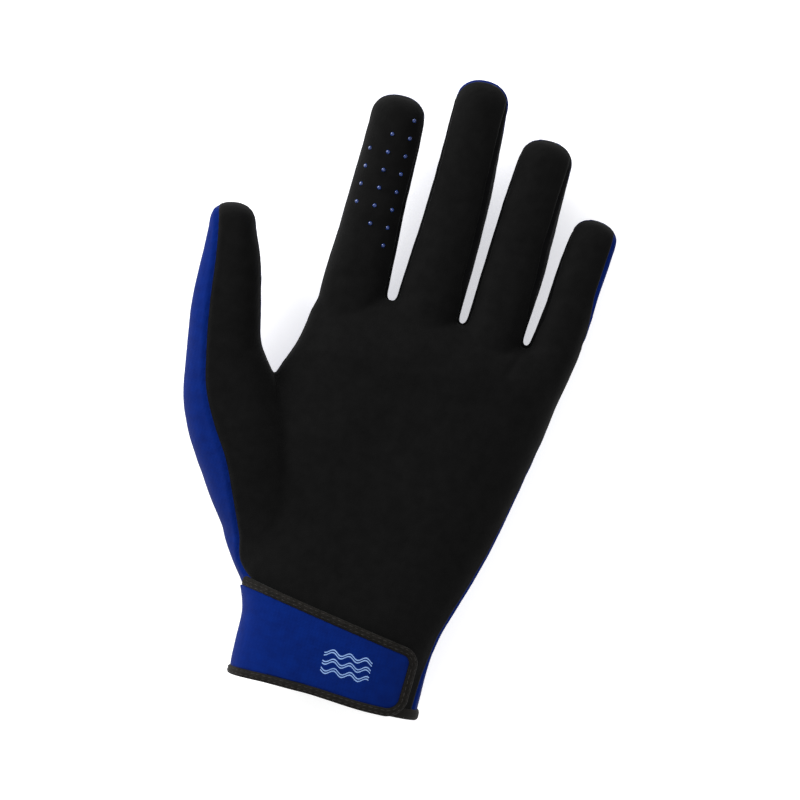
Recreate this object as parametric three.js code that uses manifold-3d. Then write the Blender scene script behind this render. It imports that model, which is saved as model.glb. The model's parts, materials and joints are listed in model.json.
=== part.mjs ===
// A left-hand, full-finger glove with a hook-and-loop wrist tab, lying on its back, palm up.
// Millimetres, +Z up. +Y runs from the cuff to the fingertips, and the thumb is on the -X side.
import * as THREE from 'three';
import { mergeVertices } from 'three/addons/utils/BufferGeometryUtils.js';
import Module from 'manifold-3d';

const wasm = await Module();
wasm.setup();

// ---------------------------------------------------------------- driving dimensions
const WALL = 1.2; // fabric with its lining
const GAP = 0.4; // between neighbouring pieces
const CUFF_Y = 1.5; // where the panels end and the cuff binding takes over
const CUFF_EDGE_Y = -1.3; // the lower edge of the cuff binding
const FAR = 260; // larger than the glove
const WEB_DROP = 5.5; // how much lower the web is beside the little finger
const SQUARE_PALM = 2.6; // superellipse power of the palm and wrist
const SQUARE_FINGER = 2.25; // superellipse power of a finger
const SQUARE_TIP = 2.3; // superellipse power of a fingertip's outline
const PALM_SIDES = 24;
const FINGER_SIDES = 12;
const SIMPLIFY = 0.08; // how far a face may move when needless triangles are merged

// The height of the fingers' centrelines: level over the palm, then curling towards the palm side.
const CURL_FROM_Y = 120;
const CURL_TO_Y = 205;
const CURL_RISE = 7.5;
const KNUCKLE_Z = 14.3;
const WRIST_Z = 18.8;
function axisHeight(y) {
  const curl = THREE.MathUtils.clamp((y - CURL_FROM_Y) / (CURL_TO_Y - CURL_FROM_Y), 0, 1.2);
  const wrist = THREE.MathUtils.smoothstep(-y, -62, -12);
  return KNUCKLE_Z + CURL_RISE * curl ** 1.6 + (WRIST_Z - KNUCKLE_Z) * wrist;
}

// The palm from the cuff to the web: y, left edge, right edge, half depth, share of the web's drop.
const PALM = [
  [-3, -32.6, 31.4, 17.4, 0],
  [10, -32.6, 31.0, 17.3, 0],
  [22, -33.0, 31.6, 17.0, 0],
  [28, -34.9, 32.7, 16.7, 0],
  [36, -40.2, 35.2, 16.4, 0],
  [46, -46.0, 38.4, 16.2, 0],
  [58, -48.0, 41.8, 16.2, 0],
  [72, -46.0, 44.6, 16.4, 0],
  [88, -43.5, 47.8, 16.4, 0],
  [100, -40.6, 50.0, 16.2, 0],
  [112, -36.2, 51.6, 15.2, 0.1],
  [124, -34.0, 53.2, 11.6, 0.6],
  [131.5, -31.5, 53.4, 6.5, 1],
];

// Fingers and thumb: centreline points from the root to where the tip's dome begins,
// each x, y, half width, half depth; then the dome's length and the joints.
const FINGERS = {
  index: {
    line: [[-19.5, 98, 10.5, 9.0], [-22.0, 118, 10.9, 9.6], [-22.8, 134, 10.6, 9.5], [-22.6, 150, 10.1, 9.2],
      [-22.5, 164, 9.7, 8.9], [-22.4, 178, 9.4, 8.5], [-22.4, 189.5, 9.0, 7.9]],
    dome: 8.0, knuckle: 134, middle: 164.1, sides: { right: 1 },
  },
  middle: {
    line: [[2.0, 98, 11.0, 9.5], [2.2, 118, 11.2, 10.2], [2.5, 134, 10.7, 10.0], [3.1, 150, 10.5, 9.7],
      [3.8, 166, 10.2, 9.3], [3.7, 184, 9.4, 8.7], [3.3, 200, 9.0, 8.0]],
    dome: 8.7, knuckle: 134.3, middle: 167.5, sides: { left: -1, right: 1 },
  },
  ring: {
    line: [[23.5, 98, 10.5, 9.0], [25.0, 118, 10.6, 9.8], [25.8, 132.5, 10.2, 9.6], [26.8, 148, 10.2, 9.2],
      [27.0, 160, 9.9, 8.9], [27.7, 176, 9.3, 8.4], [28.3, 186.7, 8.9, 7.8]],
    dome: 8.0, knuckle: 132.5, middle: 159.5, sides: { left: -1, right: 1 },
  },
  little: {
    line: [[39.8, 96, 8.6, 8.6], [43.2, 114, 8.8, 8.8], [45.7, 128, 8.6, 8.4], [47.2, 140, 8.3, 8.0],
      [48.2, 150, 8.0, 7.7], [49.3, 159, 7.8, 7.4], [50.1, 166, 7.6, 6.9]],
    dome: 7.0, knuckle: 128, middle: 147.5, sides: { left: -1 },
  },
};
const THUMB = {
  line: [[-28.5, 44, 13.2, 12.5], [-41.0, 67, 16.3, 14.0], [-53.0, 88, 15.4, 13.6], [-59.6, 104, 12.9, 12.2],
    [-62.4, 118, 11.7, 11.0], [-64.3, 131, 9.9, 9.7], [-66.4, 142.5, 7.8, 8.2]],
  dome: 7.6, knuckle: 105, middle: 126,
};
const THUMB_LOW_Z = 16.6; // the thumb's centreline rises from here at its root
const THUMB_HIGH_Z = 23.6; // to here at its tip
const THUMB_FROM = { x: [38, 50], y: [60, 95] }; // -x and y over which the palm becomes the thumb
const THUMB_LEAN = 0.42; // how far the thumb's palm side leans towards the fingers
function thumbHeight(y) {
  return THREE.MathUtils.lerp(THUMB_LOW_Z, THUMB_HIGH_Z, THREE.MathUtils.smoothstep(y, 40, 150));
}

const FLEX = { knuckle: 60, middle: 72, thumbKnuckle: 30, thumbMiddle: 45 }; // degrees, towards the palm
const CREASE_DEPTH = 2; // how far a joint's axis lies under the palm-side surface
const JOINT_SLIT = 0.7;
const CREASE_WEDGE = 14; // how tall the wedge over a joint's axis is
const DOME_END = 0.97; // share of a fingertip's dome at its last ring
const FOURCHETTE_HALF = 3.9; // half the height of a finger's side strip

// Seam between palm and back along the thumb side, as the palm side shows it, from tip to cuff.
const THUMB_SEAM = [[-74, 154], [-70.9, 142], [-68.8, 130], [-67.4, 118], [-64.6, 101],
  [-61.4, 88], [-55.4, 76.5], [-50, 68], [-45, 57], [-40, 45], [-35.2, 33.5]];
const SLIT_TOP = [-30.5, 31]; // where the wrist slit ends, under the tab
const SLIT_X = -26.5; // the palm panel's free edge along the slit

// Wrist tab.
const TAB = { rootX: -42, rootTopY: 33.4, tipTopY: 21.8, tipX: 27.2, lowY: -1.4, corner: 6.5 };
const TAB_LIFT = 2.3; // how much higher the tab lies than the palm under it, for the two patches
const TAB_HINGE_Z = 19.4;
const BINDING = 2.6; // binding's width
const TAPE_EXTRA = 0.5; // how much further out, and in, the tab's folded tape reaches than its fabric
const CUFF_TAPE = 0.7; // how much further out, and in, the cuff's folded tape reaches than the panels
const TAB_CLEAR = 0.3; // between the palm and what lies on it at the wrist
const PATCH = 0.7; // thickness of hook and of loop tape
const LOOP_PATCH = [-9, 22.5, 3.5, 18]; // left, right, low and high edges
const HOOK_PATCH = [-5, 21.5, 4.5, 17];
const SLIT_LOW_Y = -10; // below the cuff
const SLIT_BEND_Y = 20; // the slit runs straight up to here, then towards SLIT_TOP

// Grip dots on the index finger: x of the three columns, first row's y, pitch, and rows in each column.
const DOTS = { pitch: 6, top: 190.5, radius: 0.85, height: 0.7,
  columns: [{ x: -28.6, rows: [2, 3, 4, 5] }, { x: -22.6, rows: [1, 2, 3, 4, 5, 6] },
    { x: -16.7, rows: [0, 1, 2, 3, 4, 5, 6, 7] }] };

// ---------------------------------------------------------------- materials
const fabric = (color, roughness) => new THREE.MeshStandardMaterial({ color, roughness, metalness: 0 });
const PALM_SUEDE = fabric(0x161616, 0.85);
const BACK_FABRIC = fabric(0x001f66, 0.9);
const SIDE_MESH = fabric(0x121212, 0.9);
const BINDING_TAPE = fabric(0x24211c, 0.8);
const HOOK_TAPE = fabric(0x101010, 0.95);
const SILICONE = fabric(0x0f3d8c, 0.35);

// ---------------------------------------------------------------- solids
function solid(geometry) {
  const bare = geometry.clone();
  bare.deleteAttribute('normal');
  bare.deleteAttribute('uv');
  const merged = mergeVertices(bare, 1e-4);
  return new wasm.Manifold(new wasm.Mesh({
    numProp: 3,
    vertProperties: merged.attributes.position.array,
    triVerts: new Uint32Array(merged.index.array),
  }));
}

function geometryOf(made) {
  const mesh = made.getMesh();
  const geometry = new THREE.BufferGeometry();
  geometry.setAttribute('position', new THREE.BufferAttribute(mesh.vertProperties.slice(), 3));
  geometry.setIndex(new THREE.BufferAttribute(mesh.triVerts.slice(), 1));
  geometry.computeVertexNormals();
  return geometry;
}

// The largest body of a cut, without the slivers and needless triangles that a boolean can leave.
function largest(made) {
  return made.simplify(SIMPLIFY).decompose().sort((a, b) => b.volume() - a.volume())[0];
}

const power = (value, n) => Math.sign(value) * Math.abs(value) ** (2 / n);

// A cylinder whose rings are moved by ringAt(share) => {centre, side, up, halfWidth, halfDepth}.
function loft(sides, rings, square, ringAt) {
  const geometry = new THREE.CylinderGeometry(1, 1, 1, sides, rings);
  const position = geometry.attributes.position;
  const point = new THREE.Vector3();
  for (let i = 0; i < position.count; i += 1) {
    point.fromBufferAttribute(position, i);
    const ring = ringAt(Math.round((point.y + 0.5) * rings));
    const radius = Math.hypot(point.x, point.z);
    const across = radius < 1e-6 ? 0 : power(point.x / radius, square) * ring.halfWidth;
    const upward = radius < 1e-6 ? 0 : power(point.z / radius, square) * ring.halfDepth;
    point.copy(ring.centre).addScaledVector(ring.side, across).addScaledVector(ring.up, upward);
    if (ring.shear) point.y += ring.shear(point.x);
    position.setXYZ(i, point.x, point.y, point.z);
  }
  return solid(geometry);
}

const webDrop = (x) => -WEB_DROP * THREE.MathUtils.smoothstep(x, -8, 36);

// The palm and wrist, grown outwards by grow and raised by lift, from the cuff's edge to the web.
function palmForm(grow, lift = 0) {
  const rings = 16;
  const edges = new THREE.CatmullRomCurve3(
    PALM.map(([y, left, right]) => new THREE.Vector3(left, y, right)),
  );
  const depths = new THREE.CatmullRomCurve3(
    PALM.map(([, , , depth, drop]) => new THREE.Vector3(depth, drop, 0)),
  );
  return loft(PALM_SIDES, rings, SQUARE_PALM, (i) => {
    const edge = edges.getPoint(i / rings);
    const depth = depths.getPoint(i / rings);
    return {
      centre: new THREE.Vector3(
        (edge.x + edge.z) / 2,
        edge.y + (i === rings ? grow : 0),
        axisHeight(edge.y) + lift,
      ),
      side: new THREE.Vector3(1, 0, 0),
      up: new THREE.Vector3(0, 0, 1),
      halfWidth: (edge.z - edge.x) / 2 + grow,
      halfDepth: depth.x + grow,
      shear: (x) => webDrop(x) * depth.y,
    };
  });
}

// Where a finger's or the thumb's centreline is at height y, with its direction and half sizes.
function limbAt(limb, height, t) {
  const centres = new THREE.CatmullRomCurve3(limb.line.map(([x, y]) => new THREE.Vector3(x, y, height(y))));
  const sizes = new THREE.CatmullRomCurve3(
    limb.line.map(([, , width, depth]) => new THREE.Vector3(width, depth, 0)),
  );
  const size = sizes.getPoint(t);
  return { centre: centres.getPoint(t), along: centres.getTangent(t), halfWidth: size.x, halfDepth: size.y };
}

function limbAtY(limb, height, y) {
  let low = 0;
  let high = 1;
  for (let i = 0; i < 30; i += 1) {
    const mid = (low + high) / 2;
    if (limbAt(limb, height, mid).centre.y < y) low = mid;
    else high = mid;
  }
  return limbAt(limb, height, low);
}

function sideOf(along) {
  return new THREE.Vector3(along.y, -along.x, 0).normalize();
}

function limbForm(limb, height, grow) {
  const body = 6;
  const dome = 3;
  return loft(FINGER_SIDES, body + dome, SQUARE_FINGER, (i) => {
    const at = limbAt(limb, height, Math.min(1, i / body));
    const share = Math.max(0, (i - body) / dome) * DOME_END;
    const s = Math.sin(share * Math.PI / 2);
    const shrink = (1 - s ** SQUARE_TIP) ** (1 / SQUARE_TIP);
    const side = sideOf(at.along);
    return {
      centre: at.centre.clone().addScaledVector(at.along, s * (limb.dome + grow)),
      side,
      up: new THREE.Vector3().crossVectors(side, at.along).normalize(),
      halfWidth: (at.halfWidth + grow) * shrink,
      halfDepth: (at.halfDepth + grow) * shrink,
    };
  });
}

const box = (x0, x1, y0, y1, z0, z1) => solid(
  new THREE.BoxGeometry(x1 - x0, y1 - y0, z1 - z0).translate((x0 + x1) / 2, (y0 + y1) / 2, (z0 + z1) / 2),
);

// Everything above the height of the fingers' and thumb's side seams, moved up by rise.
function aboveSeam(rise) {
  const geometry = new THREE.BoxGeometry(170, 240, 60, 10, 16, 1).translate(-8, 100, 0);
  const position = geometry.attributes.position;
  for (let i = 0; i < position.count; i += 1) {
    const x = position.getX(i);
    const y = position.getY(i);
    const thumb = THREE.MathUtils.smoothstep(-x, ...THUMB_FROM.x)
      * THREE.MathUtils.smoothstep(y, ...THUMB_FROM.y);
    const z = THREE.MathUtils.lerp(axisHeight(y), thumbHeight(y), thumb);
    position.setZ(i, position.getZ(i) < 0 ? z + rise : FAR / 3);
  }
  return solid(geometry);
}

// Everything on the palm's side of the thumb seam and the wrist slit, as the palm side shows them.
function insideThumbSeam(grow) {
  const outline = new THREE.Shape();
  outline.moveTo(THUMB_SEAM[0][0] - grow, FAR);
  outline.lineTo(THUMB_SEAM[0][0] - grow, THUMB_SEAM[0][1]);
  outline.splineThru(THUMB_SEAM.slice(1).map(([x, y]) => new THREE.Vector2(x - grow, y)));
  outline.lineTo(SLIT_TOP[0] - grow, SLIT_TOP[1]);
  outline.lineTo(SLIT_X - grow, SLIT_BEND_Y);
  outline.lineTo(SLIT_X - grow, -20);
  outline.lineTo(FAR, -20);
  outline.lineTo(FAR, FAR);
  return solid(new THREE.ExtrudeGeometry(outline, { depth: 120, bevelEnabled: false, curveSegments: 12 })
    .translate(0, 0, -20));
}

// A joint's place: on the centreline, CREASE_DEPTH under the palm-side surface.
function joint(limb, height, y, lean) {
  const at = limbAtY(limb, height, y);
  const axis = sideOf(at.along);
  if (lean) axis.z = -lean;
  axis.addScaledVector(at.along, -axis.dot(at.along)).normalize();
  const up = new THREE.Vector3().crossVectors(axis, at.along).normalize();
  const point = at.centre.clone().addScaledVector(up, at.halfDepth - CREASE_DEPTH);
  return { point, axis, along: at.along, up, halfWidth: at.halfWidth };
}

function placed(geometry, at) {
  const basis = new THREE.Matrix4().makeBasis(at.along, at.up, at.axis).setPosition(at.point);
  return solid(geometry.applyMatrix4(basis));
}

// The room that a joint needs: a slit under its axis, and a wedge over it that closes as it bends.
function jointRoom(at, degrees) {
  const half = JOINT_SLIT / 2;
  const open = half + Math.tan(THREE.MathUtils.degToRad(degrees / 2 + 2)) * CREASE_WEDGE;
  const profile = new THREE.Shape([
    [-half, -40], [half, -40], [half, 0],
    [open, CREASE_WEDGE], [-open, CREASE_WEDGE], [-half, 0],
  ].map(([x, y]) => new THREE.Vector2(x, y)));
  const width = 2 * at.halfWidth + 3;
  return placed(new THREE.ExtrudeGeometry(profile, { depth: width, bevelEnabled: false })
    .translate(0, 0, -width / 2), at);
}

// Everything of a limb beyond a joint.
function beyond(at) {
  const width = 2 * at.halfWidth + 12;
  return placed(new THREE.BoxGeometry(100, 100, width).translate(50, 0, 0), at);
}

// ---------------------------------------------------------------- the glove
const glove = new THREE.Group();
function add(name, made, material) {
  const mesh = new THREE.Mesh(geometryOf(largest(made)), material);
  mesh.name = name;
  glove.add(mesh);
  return mesh;
}

const palmRegion = aboveSeam(GAP / 2).intersect(insideThumbSeam(0));
const notBackRegion = aboveSeam(-GAP / 2).intersect(insideThumbSeam(GAP));
const limbs = { ...FINGERS, thumb: THUMB };
const heightOf = (name) => (name === 'thumb' ? thumbHeight : axisHeight);
const leanOf = (name) => (name === 'thumb' ? THUMB_LEAN : 0);

const joints = {};
for (const [name, limb] of Object.entries(limbs)) {
  joints[name] = {
    knuckle: joint(limb, heightOf(name), limb.knuckle, leanOf(name)),
    middle: joint(limb, heightOf(name), limb.middle, leanOf(name)),
  };
}
function flexOf(name, which) {
  if (name !== 'thumb') return FLEX[which];
  return which === 'knuckle' ? FLEX.thumbKnuckle : FLEX.thumbMiddle;
}

// The whole hand, outside and inside.
const aboveTable = box(-FAR, FAR, -FAR, FAR, 0, FAR);
const aboveLining = box(-FAR, FAR, -FAR, FAR, WALL, FAR);
const fromCuff = box(-FAR, FAR, CUFF_Y, FAR, -FAR, FAR);
let outside = palmForm(0);
let inside = palmForm(-WALL);
for (const [name, limb] of Object.entries(limbs)) {
  outside = outside.add(limbForm(limb, heightOf(name), 0));
  inside = inside.add(limbForm(limb, heightOf(name), -WALL));
}
let handShell = outside.intersect(aboveTable).intersect(fromCuff).subtract(inside.intersect(aboveLining));

for (const [name, limb] of Object.entries(limbs)) {
  const { knuckle, middle } = joints[name];
  const form = limbForm(limb, heightOf(name), 0);
  const roomAtKnuckle = jointRoom(knuckle, flexOf(name, 'knuckle'));
  const roomAtMiddle = jointRoom(middle, flexOf(name, 'middle'));
  const limbRoom = limbForm(limb, heightOf(name), GAP).intersect(beyond(knuckle));
  handShell = handShell.subtract(limbRoom).subtract(roomAtKnuckle);
  const whole = form.subtract(limbForm(limb, heightOf(name), -WALL)).intersect(beyond(knuckle))
    .subtract(roomAtKnuckle).subtract(roomAtMiddle);
  const parts = { lower: whole.subtract(beyond(middle)), upper: whole.intersect(beyond(middle)) };
  const label = name === 'thumb' ? 'thumb' : `${name}_finger`;
  const endOfSides = limb.line[limb.line.length - 1][1] - 0.5;
  for (const [half, shell] of Object.entries(parts)) {
    let palmPart = shell.intersect(palmRegion);
    let backPart = shell.subtract(notBackRegion);
    for (const [side, sign] of Object.entries(limb.sides ?? {})) {
      const middleY = half === 'lower' ? limb.knuckle + 12 : limb.middle + 14;
      const centre = limbAtY(limb, axisHeight, middleY).centre.x;
      const strip = (grow) => aboveSeam(-FOURCHETTE_HALF - grow).subtract(aboveSeam(FOURCHETTE_HALF + grow))
        .intersect(sign > 0 ? box(centre, centre + 30, 100, endOfSides + grow, -20, 60)
          : box(centre - 30, centre, 100, endOfSides + grow, -20, 60));
      add(`${label}_${half}_${side}_fourchette`, shell.intersect(strip(-GAP / 2)), SIDE_MESH);
      palmPart = palmPart.subtract(strip(GAP / 2));
      backPart = backPart.subtract(strip(GAP / 2));
    }
    add(`${label}_${half}_palm_side`, palmPart, PALM_SUEDE);
    add(`${label}_${half}_back`, backPart, BACK_FABRIC);
  }
}

// Wrist: outlines of the tab as the palm side shows it, smaller by inset.
function tabOutline(inset) {
  const { rootX, rootTopY, tipTopY, tipX, lowY, corner } = TAB;
  const right = tipX - inset;
  const bottom = lowY + inset;
  const slope = (tipTopY - rootTopY) / (tipX - rootX);
  const topAt = (x) => rootTopY - inset + slope * (x - rootX);
  const round = corner - inset / 2;
  const outline = new THREE.Shape();
  outline.moveTo(rootX, bottom);
  outline.lineTo(right - round, bottom);
  outline.quadraticCurveTo(right - 0.5, bottom, right - 0.5, bottom + round);
  outline.lineTo(right, topAt(right) - round);
  outline.quadraticCurveTo(right, topAt(right), right - round, topAt(right - round));
  outline.lineTo(rootX, topAt(rootX));
  return outline;
}
const prism = (outline, low) => solid(
  new THREE.ExtrudeGeometry(outline, { depth: 60, bevelEnabled: false, curveSegments: 6 })
    .translate(0, 0, low),
);

const tabRoom = prism(tabOutline(0), TAB_HINGE_Z);
const tabFabric = palmForm(TAB_CLEAR + WALL, TAB_LIFT).subtract(palmForm(TAB_CLEAR, TAB_LIFT));
const tabTape = palmForm(TAB_CLEAR + WALL + TAPE_EXTRA, TAB_LIFT)
  .subtract(palmForm(TAB_CLEAR - TAPE_EXTRA, TAB_LIFT));
add('closure_tab', tabFabric.intersect(prism(tabOutline(BINDING), TAB_HINGE_Z)), BACK_FABRIC);
const insideTape = prism(tabOutline(BINDING - GAP), TAB_HINGE_Z - 1);
add('tab_binding', tabTape.intersect(tabRoom).subtract(insideTape), BINDING_TAPE);
const patch = (x0, x1, y0, y1) => box(x0, x1, y0, y1, TAB_HINGE_Z + 6, 60);
const patchLayer = palmForm(TAB_CLEAR + PATCH).subtract(palmForm(TAB_CLEAR));
add('loop_patch', patchLayer.intersect(patch(...LOOP_PATCH)), HOOK_TAPE);
add('hook_patch', palmForm(-0.05, TAB_LIFT).subtract(palmForm(-0.05 - PATCH, TAB_LIFT))
  .intersect(patch(...HOOK_PATCH)), HOOK_TAPE);

// The cuff's binding wraps the panels' lower edges, from the tab's root round to the slit.
const cuffRing = palmForm(CUFF_TAPE).subtract(palmForm(-WALL - CUFF_TAPE))
  .intersect(box(-FAR, FAR, CUFF_EDGE_Y, CUFF_Y - 0.3, 0.3, FAR))
  .subtract(box(-FAR, SLIT_X, -20, 20, TAB_HINGE_Z - 0.6, FAR));
add('cuff_binding', cuffRing, BINDING_TAPE);

const palmPanel = handShell.intersect(palmRegion);
const slitRoom = new THREE.Shape([
  [-60, SLIT_LOW_Y], [SLIT_X - GAP, SLIT_LOW_Y], [SLIT_X - GAP, SLIT_BEND_Y],
  SLIT_TOP, [-60, SLIT_TOP[1]],
].map(([x, y]) => new THREE.Vector2(x, y)));
const backPanel = handShell.subtract(notBackRegion).subtract(prism(slitRoom, TAB_HINGE_Z - GAP));
add('palm_panel', palmPanel, PALM_SUEDE);
add('back_panel', backPanel, BACK_FABRIC);

// Grip dots: low domes standing on the index finger's palm side.
let dotNumber = 0;
for (const { x, rows } of DOTS.columns) {
  for (const row of rows) {
    dotNumber += 1;
    const y = DOTS.top - DOTS.pitch * row;
    const at = limbAtY(FINGERS.index, axisHeight, Math.min(y, 189));
    const share = (x - at.centre.x) / at.halfWidth;
    const lift = at.halfDepth * (1 - Math.abs(share) ** SQUARE_FINGER) ** (1 / SQUARE_FINGER);
    const slope = Math.atan2(share * 1.1, Math.sqrt(Math.max(0.15, 1 - share * share)) * 1.6);
    const profile = [[0, 0], [1, 0], [0.75, 0.7], [0, 1]]
      .map(([r, h]) => new THREE.Vector2(r * DOTS.radius, h * DOTS.height));
    const dome = new THREE.LatheGeometry(profile, 7).rotateX(Math.PI / 2).translate(0, 0, 0.45)
      .rotateY(slope).translate(x, y, at.centre.z + lift);
    add(`grip_dot_${String(dotNumber).padStart(2, '0')}`, solid(dome), SILICONE);
  }
}

// The origin is under the middle of the glove, on the surface it lies on.
const extent = new THREE.Box3().setFromObject(glove);
const middleOfGlove = extent.getCenter(new THREE.Vector3());
glove.position.set(-middleOfGlove.x, -middleOfGlove.y, -extent.min.z);

export default glove;
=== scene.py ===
"""A left glove with a wrist tab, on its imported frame.

The pattern below is in millimetres, and the scene in metres.
"""
import math

import bpy
import numpy as np
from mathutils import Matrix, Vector, noise
from mathutils.bvhtree import BVHTree
from mathutils.kdtree import KDTree
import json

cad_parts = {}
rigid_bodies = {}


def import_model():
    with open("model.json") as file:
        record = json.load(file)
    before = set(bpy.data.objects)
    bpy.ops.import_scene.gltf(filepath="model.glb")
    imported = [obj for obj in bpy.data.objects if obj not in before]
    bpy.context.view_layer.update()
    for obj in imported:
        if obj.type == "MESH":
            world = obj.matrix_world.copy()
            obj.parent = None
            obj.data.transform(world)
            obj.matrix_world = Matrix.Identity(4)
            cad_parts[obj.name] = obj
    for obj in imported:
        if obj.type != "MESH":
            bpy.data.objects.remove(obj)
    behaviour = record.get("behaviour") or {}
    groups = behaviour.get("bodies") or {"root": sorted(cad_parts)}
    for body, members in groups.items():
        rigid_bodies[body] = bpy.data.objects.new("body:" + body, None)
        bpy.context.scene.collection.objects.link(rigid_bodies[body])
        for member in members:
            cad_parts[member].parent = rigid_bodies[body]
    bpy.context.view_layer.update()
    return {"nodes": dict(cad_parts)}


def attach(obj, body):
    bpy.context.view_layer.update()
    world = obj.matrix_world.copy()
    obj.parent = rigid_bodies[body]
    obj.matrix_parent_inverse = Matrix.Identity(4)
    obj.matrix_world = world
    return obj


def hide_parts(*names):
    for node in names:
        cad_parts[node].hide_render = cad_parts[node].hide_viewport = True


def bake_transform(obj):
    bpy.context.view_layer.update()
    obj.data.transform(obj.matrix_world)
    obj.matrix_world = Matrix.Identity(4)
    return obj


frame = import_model()
nodes = frame["nodes"]

# The pattern's origin is at the middle of the cuff's palm-side edge. This is its place in the row frame.
OFFSET = np.array([8.230, -103.647, 0.0])


def metres(points):
    return (np.asarray(points, float) + OFFSET) / 1000.0


# ---------------------------------------------------------------- camera
def make_camera():
    camera = bpy.data.cameras.new("camera")
    camera.lens = 200
    camera.sensor_width = 36
    camera.clip_end = 20
    body = bpy.data.objects.new("camera", camera)
    bpy.context.scene.collection.objects.link(body)
    body.location = (0.0092, -0.0035, 1.482)
    body.rotation_euler = (0, 0, math.radians(14))
    bpy.context.scene.camera = body


make_camera()

# ---------------------------------------------------------------- the pattern
WALL = 1.1  # fabric with its lining
TABLE_CLEAR = 0.02  # how far the skin stays above the floor
SKIN_FROM_Y = 0.6  # the skin's lower edge, inside the cuff's binding
SQUARE_PALM = 2.6  # superellipse powers of the palm, of a limb and of a fingertip's outline
SQUARE_LIMB = 2.25
SQUARE_TIP = 2.3
WEB_DROP = 5.5  # how much lower the web is beside the little finger
CREASE_DEPTH = 2  # how far a joint's axis lies under the palm-side surface
THUMB_LEAN = 0.42  # how far the thumb's palm side leans towards the fingers

# The palm and wrist: y, left edge, right edge, half depth, share of the web's drop.
PALM = np.array([
    [-14, -31.4, 31.2, 17.4, 0],
    [-3, -31.4, 31.2, 17.4, 0],
    [10, -31.4, 31.0, 17.3, 0],
    [22, -32.0, 31.6, 17.0, 0],
    [28, -34.2, 32.7, 16.7, 0],
    [36, -40.0, 35.2, 16.4, 0],
    [46, -46.0, 38.4, 16.2, 0],
    [58, -48.0, 41.8, 16.2, 0],
    [72, -46.0, 44.6, 16.4, 0],
    [88, -43.5, 47.8, 16.4, 0],
    [100, -40.6, 50.0, 16.2, 0],
    [112, -36.2, 51.6, 15.2, 0.1],
    [124, -34.0, 53.2, 11.6, 0.6],
    [131.5, -31.5, 53.4, 6.5, 1],
])

# Fingers and thumb: centreline points from root to dome, each x, y, half width, half depth; then the
# dome's length, the two joints, and which sides have a strip, 1 for the right and -1 for the left.
LIMBS = {
    "index": dict(
        line=[[-19.5, 98, 10.5, 9.0], [-21.8, 118, 11.0, 9.6], [-22.4, 134, 10.9, 9.5],
              [-22.3, 150, 10.1, 9.2], [-22.3, 164, 9.6, 8.9],
              [-22.1, 178, 9.2, 8.5], [-22.2, 189.5, 8.9, 7.9]],
        dome=8.0, knuckle=134, middle=164.1, sides=(1,)),
    "middle": dict(
        line=[[2.0, 98, 11.0, 9.5], [2.2, 118, 11.2, 10.2], [2.6, 134, 10.8, 10.0], [3.5, 150, 10.5, 9.7],
              [4.0, 166, 10.1, 9.3], [3.9, 184, 9.3, 8.7], [3.5, 200, 8.8, 8.0]],
        dome=8.7, knuckle=134.3, middle=167.5, sides=(-1, 1)),
    "ring": dict(
        line=[[23.5, 98, 10.5, 9.0], [25.0, 118, 10.6, 9.8], [26.0, 132.5, 9.8, 9.6], [27.0, 148, 10.1, 9.2],
              [27.3, 160, 9.8, 8.9], [27.9, 176, 9.2, 8.4], [28.4, 186.7, 8.8, 7.8]],
        dome=8.0, knuckle=132.5, middle=159.5, sides=(-1, 1)),
    "little": dict(
        line=[[39.8, 96, 8.6, 8.6], [43.2, 114, 8.8, 8.8], [46.2, 128, 8.3, 8.4], [47.7, 140, 8.0, 8.0],
              [48.5, 150, 7.9, 7.7], [49.3, 159, 7.8, 7.4], [50.1, 166, 7.6, 6.9]],
        dome=7.0, knuckle=128, middle=147.5, sides=(-1,)),
    "thumb": dict(
        line=[[-28.5, 44, 13.2, 12.5], [-41.0, 67, 16.3, 14.0], [-53.2, 88, 16.0, 13.6],
              [-59.6, 104, 12.2, 12.2], [-62.2, 118, 11.3, 11.0],
              [-63.9, 131, 9.8, 9.7], [-66.3, 142.5, 7.6, 8.2]],
        dome=7.6, knuckle=105, middle=126, sides=()),
}

# The seam between palm and back on the thumb side, as the palm side shows it, from tip to cuff.
THUMB_SEAM = np.array([[-75, 160], [-74, 154], [-70.9, 142], [-68.8, 130], [-67.4, 118],
                       [-64.6, 101], [-61.4, 88], [-55.4, 76.5], [-50, 68], [-45, 57],
                       [-40, 45], [-35.2, 33.5], [-30.5, 30], [-29, 20],
                       [-29, -20]])
FINGERS = ("index", "middle", "ring", "little")


def smoothstep(x, low, high):
    t = np.clip((np.asarray(x, float) - low) / (high - low), 0, 1)
    return t * t * (3 - 2 * t)


def curve(knots, values):
    """A smooth curve through the values at the knots."""
    k = np.asarray(knots, float)
    v = np.asarray(values, float)
    slope = np.gradient(v, k)

    def at(x):
        x = np.clip(x, k[0], k[-1])
        i = np.clip(np.searchsorted(k, x) - 1, 0, len(k) - 2)
        h = k[i + 1] - k[i]
        t = (x - k[i]) / h
        return ((2 * t**3 - 3 * t**2 + 1) * v[i] + (t**3 - 2 * t**2 + t) * h * slope[i]
                + (-2 * t**3 + 3 * t**2) * v[i + 1] + (t**3 - t**2) * h * slope[i + 1])
    return at


def axis_height(y):
    curl = np.clip((np.asarray(y, float) - 120) / 85, 0, 1.2)
    return 14.3 + 7.5 * curl**1.6 + 4.5 * smoothstep(-np.asarray(y, float), -62, -12)


def thumb_height(y):
    return 16.6 + 7.0 * smoothstep(y, 40, 150)


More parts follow.
